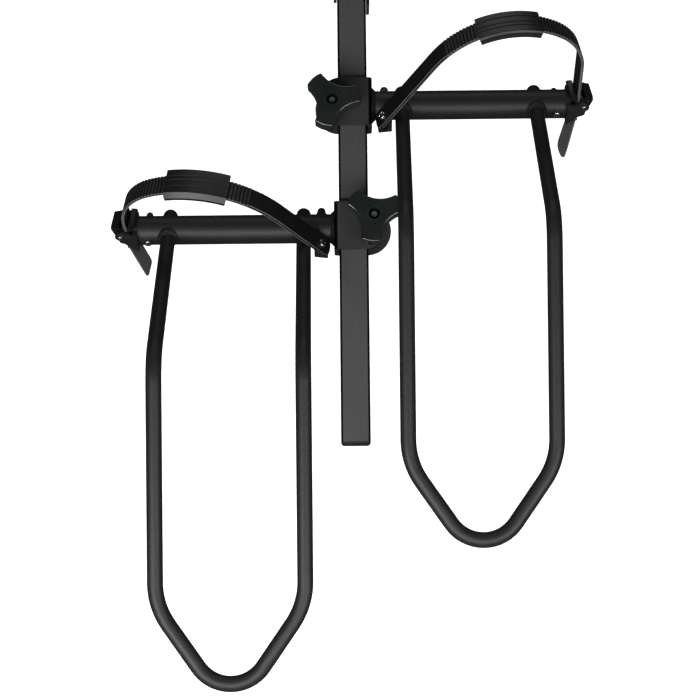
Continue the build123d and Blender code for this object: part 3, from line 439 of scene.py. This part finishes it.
def strap_path(side):
    """The strap's runs as (kind, length or radius, angle), from its anchor to where the tail starts."""
    corners = [START, CREST[side][:2], SHOULDER[side][:2], (LINE, ENTERS), (LINE, -TAIL_STARTS)]
    bends = [CREST[side][2], SHOULDER[side][2], BUCKLE_BEND]
    headings = [atan2(b[1] - a[1], b[0] - a[0]) for a, b in zip(corners, corners[1:])]
    lengths = [hypot(b[0] - a[0], b[1] - a[1]) for a, b in zip(corners, corners[1:])]
    runs, used = [], 0.0
    for i, radius in enumerate(bends):
        turn = headings[i + 1] - headings[i]
        cut = radius * tan(abs(turn) / 2)
        runs.append(("straight", lengths[i] - used - cut, 0.0))
        runs.append(("bend", radius, turn))
        used = cut
    runs.append(("straight", lengths[-1] - used, 0.0))
    return headings[0], runs


def run_length(run):
    kind, size, turn = run
    return size if kind == "straight" else size * abs(turn)


def bend_centre(place, run):
    """Centre of a bend that starts at a place, which is (x, y, heading)."""
    x, y, heading = place
    _, radius, turn = run
    reach = radius if turn > 0 else -radius
    return x - sin(heading) * reach, y + cos(heading) * reach


def further(place, run, distance):
    """The place this far along a run that starts at the given place."""
    x, y, heading = place
    kind, size, turn = run
    if kind == "straight":
        return x + cos(heading) * distance, y + sin(heading) * distance, heading
    way = 1 if turn > 0 else -1
    cx, cy = bend_centre(place, run)
    now = heading + way * distance / size
    return cx + way * sin(now) * size, cy - way * cos(now) * size, now


for side in (-1, 1):
    total = sum(run_length(run) for run in strap_path(side)[1])
    print(NAME[side], "strap, anchor to buckle in mm:", round(total, 1))

# %% [markdown]
# ## The ladder strap
#
# A ladder strap is moulded flat: a web with a rung every 4 mm, each shaped like a saw tooth so that the
# pawl slides over it one way and bites the other way. Near its anchor it is smooth and as thick as its
# rungs. Each run is made with the tool that fits it: an extrusion for a straight, and a spin for a bend.
# The fixed end starts narrow and widens along a quarter circle, because its corners are cut round. The rungs
# are one small tooth, set down again and again along the same path. The tail gets a lighter grey, the edges
# and rung ends get the same grey as a painted highlight, and the crests get painted light.

# %% Build the strap
WEB = 1.9
LEDGE = 1.6
RUNG_PITCH = 4.0
RUNG_LONG, RUNG_SLOPE, RUNG_WIDE = 3.3, 0.7, 22.8
RUNG_SUNK, RUNG_SOFT = 0.3, 0.25
SECTION_SOFT = 0.5
LEDGE_IN, LEDGE_DRAFT, LEDGE_SLOPE = 0.7, 0.1, 0.2
EDGE_BAND = 0.3
SLANTED = (0.3, 0.85)       # how far sideways the normal of a slanted edge face leans
LOOKS_OUT, LOOKS_ASIDE = 0.6, 0.5
GREY_AND_HIGHLIGHT, PAINTED_LIGHT_CREST = 1, 2      # places in the strap's list of the light grey and painted highlight finish, and of the crests' painted light
BEND_STEP = 3               # degrees
ROUND_STEPS = 5
TAIL_SHARES = (0.12, 0.25, 0.4, 0.55, 0.7)
TWIST_RATE = 1.6            # the twist is complete at 1 / 1.6 of the tail's length
SMOOTH_START = {-1: 117.0, 1: 124.5}
STEP_DOWN = 1.5


def rung_places(side):
    """The places of the rungs, one every rung pitch along the path."""
    heading, runs = strap_path(side)
    place = (*START, heading)
    travelled, due = 0.0, SMOOTH_START[side]
    places = []
    for run in runs:
        while due <= travelled + run_length(run):
            places.append(further(place, run, due - travelled))
            due += RUNG_PITCH
        place = further(place, run, run_length(run))
        travelled += run_length(run)
    return places


def at(x, y, heading):
    """Matrix of a place on the path: its x runs along the strap and its y points out of it."""
    return Matrix.Translation((x, y, 0)) @ Matrix.Rotation(heading, 4, "Z")


def rung():
    """One saw tooth, lying on the web at the origin."""
    tall = STRAP_THICK - WEB + RUNG_SUNK
    bm = bmesh.new()
    bmesh.ops.create_cube(bm, size=1)
    bmesh.ops.scale(bm, vec=(RUNG_LONG, tall, RUNG_WIDE), verts=bm.verts)
    high = [v for v in bm.verts if v.co.y > 0]
    bmesh.ops.translate(bm, verts=[v for v in high if v.co.x > 0], vec=(-RUNG_SLOPE, 0, 0))
    bmesh.ops.translate(bm, verts=bm.verts, vec=(0, STRAP_THICK / 2 - tall / 2, 0))
    crest = [e for e in bm.edges if all(v in high for v in e.verts)]
    bmesh.ops.bevel(bm, geom=crest, offset=RUNG_SOFT, offset_type="OFFSET", affect="EDGES",
                    segments=1, profile=0.5, material=-1)
    bm.normal_update()
    for face in bm.faces:
        # the crests are painted lighter than the grooves as painted light, and the rung ends at the strap's
        # edges get the painted highlight
        if face.normal.y > LOOKS_OUT:
            face.material_index = PAINTED_LIGHT_CREST
        elif abs(face.normal.z) > LOOKS_ASIDE:
            face.material_index = GREY_AND_HIGHLIGHT
    mesh = bpy.data.meshes.new("rung")
    bm.to_mesh(mesh)
    bm.free()
    return mesh


def web_section(bm, side):
    """The outline at the anchor, where the strap is smooth and as thick as its rungs, as a loop of edges."""
    low, high, half = -STRAP_THICK / 2, STRAP_THICK / 2, STRAP_WIDE / 2
    above = half - LEDGE_IN - LEDGE_DRAFT
    one_edge = [
        (low, half - SECTION_SOFT), (low + SECTION_SOFT, half), (low + LEDGE - LEDGE_SLOPE, half),
        (low + LEDGE, half - LEDGE_IN), (high - SECTION_SOFT, above), (high, above - SECTION_SOFT),
    ]
    outline = one_edge + [(h, -n) for h, n in reversed(one_edge)]
    heading, _ = strap_path(side)
    verts = [bm.verts.new(at(*START, heading) @ Vector((0, h, n))) for h, n in outline]
    return [bm.edges.new(pair) for pair in zip(verts, verts[1:] + verts[:1])]


def sweep_straight(bm, loop, move):
    made = bmesh.ops.extrude_edge_only(bm, edges=loop)["geom"]
    bmesh.ops.translate(bm, verts=[g for g in made if isinstance(g, bmesh.types.BMVert)], vec=move)
    return [g for g in made if isinstance(g, bmesh.types.BMEdge)]


def corners_of(loop):
    return list({v for e in loop for v in e.verts})


def widen(bm, loop, middle, factor):
    bmesh.ops.scale(bm, verts=corners_of(loop), vec=(1, 1, factor), space=Matrix.Translation(-middle))


def sweep_round_end(bm, loop, middle, ahead):
    """The fixed end, whose two corners are cut round: the section widens along a quarter circle."""
    half = STRAP_WIDE / 2
    done, wide = 0.0, half - END_CORNER
    widen(bm, loop, middle, wide / half)
    bmesh.ops.contextual_create(bm, geom=loop)
    for step in range(1, ROUND_STEPS + 1):
        angle = pi / 2 * step / ROUND_STEPS
        reach, now = END_CORNER * (1 - cos(angle)), half - END_CORNER * (1 - sin(angle))
        loop = sweep_straight(bm, loop, ahead * (reach - done))
        widen(bm, loop, middle + ahead * reach, now / wide)
        done, wide = reach, now
    return loop


def sweep_run(bm, loop, place, run):
    """Sweeps the loop along one run, and returns the new loop and place."""
    end = further(place, run, run_length(run))
    kind, _, turn = run
    if kind == "straight":
        return sweep_straight(bm, loop, Vector((end[0] - place[0], end[1] - place[1], 0))), end
    centre = (*bend_centre(place, run), 0)
    axis = (0, 0, 1 if turn > 0 else -1)
    steps = max(2, int(degrees(abs(turn)) / BEND_STEP))
    made = bmesh.ops.spin(bm, geom=loop, cent=centre, axis=axis, angle=abs(turn), steps=steps)
    return [g for g in made["geom_last"] if isinstance(g, bmesh.types.BMEdge)], end


def sweep_runs(bm, loop, place, runs):
    for run in runs:
        loop, place = sweep_run(bm, loop, place, run)
    return loop, place


def split_runs(runs, distance):
    """The runs up to a distance along the path, and the rest of them."""
    before, after = [], []
    for kind, size, turn in runs:
        length = run_length((kind, size, turn))
        share = min(1.0, max(0.0, distance / length))
        for part, piece in ((share, before), (1 - share, after)):
            if part > 0:
                piece.append((kind, size * part, 0.0) if kind == "straight" else (kind, size, turn * part))
        distance -= length
    return before, after


def thin_to_web(bm, loop, place):
    """Brings the top of the section down by the rungs' height, from the smooth start to the web."""
    x, y, heading = place
    outwards = Vector((-sin(heading), cos(heading), 0))
    ledge = Vector((x, y, 0)).dot(outwards) + LEDGE - STRAP_THICK / 2
    keep = (WEB - LEDGE) / (STRAP_THICK - LEDGE)
    for vert in corners_of(loop):
        above = vert.co.dot(outwards) - ledge
        if above > 0:
            bmesh.ops.translate(bm, verts=[vert], vec=outwards * above * (keep - 1))


def mark_grey_and_highlight(bm, gets_grey):
    """Gives the light grey finish to the faces that the test picks; on the strap's edges it is a painted
    highlight.
    """
    bm.normal_update()
    for face in bm.faces:
        if gets_grey(face.normal, face.calc_center_median()):
            face.material_index = GREY_AND_HIGHLIGHT


def sweep_tail(bm, loop, place, side):
    """The tail turns a little about its own line, and the corners of its end are cut round."""
    half = STRAP_WIDE / 2
    middle = Vector((place[0], place[1], 0))
    line = Vector((*TAIL[side], 0)) - middle
    corner = TAIL_CORNER[side]
    stations = [(share, 1.0) for share in TAIL_SHARES]
    for step in range(ROUND_STEPS + 1):
        angle = pi / 2 * step / ROUND_STEPS
        stations.append((1 - corner * (1 - sin(angle)) / line.length, 1 - corner * (1 - cos(angle)) / half))
    done_share, done_turn, done_width = 0.0, 0.0, 1.0
    for share, width in stations:
        loop = sweep_straight(bm, loop, line * (share - done_share))
        turn = radians(-side * TAIL_TWIST[side] * min(1, share * TWIST_RATE))
        here = {"verts": corners_of(loop), "space": Matrix.Translation(-(middle + line * share))}
        bmesh.ops.rotate(bm, cent=(0, 0, 0), matrix=Matrix.Rotation(-done_turn, 3, line), **here)
        bmesh.ops.scale(bm, vec=(1, 1, width / done_width), **here)
        bmesh.ops.rotate(bm, cent=(0, 0, 0), matrix=Matrix.Rotation(turn, 3, line), **here)
        done_share, done_turn, done_width = share, turn, width
    return loop


def set_rungs(bm, side):
    """Sets a copy of the tooth down at each rung's place."""
    tooth = rung()
    for place in rung_places(side):
        first = len(bm.verts)
        bm.from_mesh(tooth)
        bm.verts.ensure_lookup_table()
        bmesh.ops.transform(bm, matrix=at(*place), verts=bm.verts[first:])


def build_strap(side):
    bm = bmesh.new()
    heading, runs = strap_path(side)
    half = STRAP_WIDE / 2
    ahead = Vector((cos(heading), sin(heading), 0))
    middle = Vector((*START, 0))
    loop = sweep_round_end(bm, web_section(bm, side), middle, ahead)
    middle += ahead * END_CORNER
    place = (middle.x, middle.y, heading)
    _, runs = split_runs(runs, END_CORNER)
    smooth, ribbed = split_runs(runs, SMOOTH_START[side] - END_CORNER - 2 * STEP_DOWN)
    loop, place = sweep_runs(bm, loop, place, smooth)
    least, most = SLANTED
    # the edge band and the slanted edge faces get the light grey as a painted highlight
    mark_grey_and_highlight(bm, lambda normal, centre: abs(centre.z) > half - EDGE_BAND or least < abs(normal.z) < most)
    step, ribbed = split_runs(ribbed, STEP_DOWN)
    loop, place = sweep_runs(bm, loop, place, step)
    thin_to_web(bm, loop, place)
    loop, place = sweep_runs(bm, loop, place, ribbed)
    loop = sweep_tail(bm, loop, place, side)
    bmesh.ops.contextual_create(bm, geom=loop)
    bmesh.ops.recalc_face_normals(bm, faces=bm.faces)
    mark_grey_and_highlight(bm, lambda normal, centre: centre.y < -TAIL_STARTS)
    set_rungs(bm, side)
    bmesh.ops.transform(bm, matrix=strap_matrix(side), verts=bm.verts)
    face_finishes = [face.material_index for face in bm.faces]
    strap = to_object(bm, f"{NAME[side]}_ladder_strap")
    dress(strap, strap_urethane)
    strap.data.materials.append(grey_and_highlight_urethane)
    strap.data.materials.append(painted_light_crest_urethane)
    strap.data.polygons.foreach_set("material_index", face_finishes)
    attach(strap, f"{NAME[side]}_holder")
    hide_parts(f"{NAME[side]}_strap")
    return strap


for side in (-1, 1):
    strap = build_strap(side)
    print(strap.name, "faces:", len(strap.data.polygons))

# %% [markdown]
# ## The rubber pad
#
# The pad is an extruded rubber sleeve with three lengthwise grooves on its back. One long side has a
# broad, steep bevel, and the other a narrow one above a small lip. Both sleeves are the same extrusion,
# so the left one turns its broad bevel to the front, where it is the brightest thing on the strap, and
# the right one its narrow bevel. The sleeve was cut to length and bent with the strap, so its outline
# and its slot are spun together round the centre of the strap's large bend, and the two ends are closed
# by bridging outline to slot.

# %% Build the pad
PAD_LENGTH, PAD_MIDDLE = 66.0, {-1: 133.0, 1: 132.0}
PAD_BACK = 4.8
PAD_GROOVES = (-5.6, 2.5, 8.0)
GROOVE = (1.5, 0.6)
BROAD_BEVEL = [(-0.6, -18.0), (-0.2, -17.7), (4.5, -13.7), (PAD_BACK, -13.0)]
NARROW_BEVEL = [(PAD_BACK, 15.6), (4.5, 16.6), (3.0, 17.5), (2.4, 18.0)]
LIP = [(0.2, 18.0), (-0.1, 17.6), (-0.8, 17.6), (-1.1, 18.0)]
BELLY = [(-3.7, 18.0), (-4.2, 17.5), (-4.2, -17.5)]
BELLY_EDGE = (-3.7, -18.0)
SLOT_FIT = 0.3
PAD_STEPS = 20


def pad_outline():
    """The sleeve's section as (height, place across) points. The broad bevel's places are negative."""
    wide, deep = GROOVE
    top = []
    for middle in PAD_GROOVES:
        top += [(PAD_BACK, middle - wide / 2), (PAD_BACK - deep, middle), (PAD_BACK, middle + wide / 2)]
    return [BELLY_EDGE, *BROAD_BEVEL, *top, *NARROW_BEVEL, *LIP, *BELLY]


def crest_centre(side):
    """Centre of the strap's large bend, in the strap's plane."""
    heading, (first, bend, *_) = strap_path(side)
    return bend_centre(further((*START, heading), first, run_length(first)), bend)


def build_pad(side):
    radius = CREST[side][2]
    cx, cy = crest_centre(side)
    middle_angle = acos((PAD_MIDDLE[side] - cx) / radius)
    half = PAD_LENGTH / 2 / radius
    wide, deep = STRAP_WIDE / 2 + SLOT_FIT, STRAP_THICK / 2 + SLOT_FIT
    slot = [(-deep, -wide), (deep, -wide), (deep, wide), (-deep, wide)]
    bm = bmesh.new()
    first, last = [], []
    start = Matrix.Translation((cx, cy, 0)) @ Matrix.Rotation(middle_angle + half, 4, "Z")
    for outline in (pad_outline(), slot):
        verts = [bm.verts.new(start @ Vector((radius + h, 0, n))) for h, n in outline]
        loop = [bm.edges.new(pair) for pair in zip(verts, verts[1:] + verts[:1])]
        first += loop
        made = bmesh.ops.spin(
            bm, geom=loop, cent=(cx, cy, 0), axis=(0, 0, -1), angle=2 * half, steps=PAD_STEPS
        )
        last += [g for g in made["geom_last"] if isinstance(g, bmesh.types.BMEdge)]
    for edges in (first, last):
        bmesh.ops.bridge_loops(bm, edges=edges)
    bmesh.ops.recalc_face_normals(bm, faces=bm.faces)
    bmesh.ops.transform(bm, matrix=strap_matrix(side), verts=bm.verts)
    pad = to_object(bm, f"{NAME[side]}_rubber_sleeve")
    dress(pad, pad_rubber, sharp=20.0)
    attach(pad, f"{NAME[side]}_pad")
    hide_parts(f"{NAME[side]}_strap_pad")
    return pad


for side in (-1, 1):
    pad = build_pad(side)
    print(pad.name, "faces:", len(pad.data.polygons))
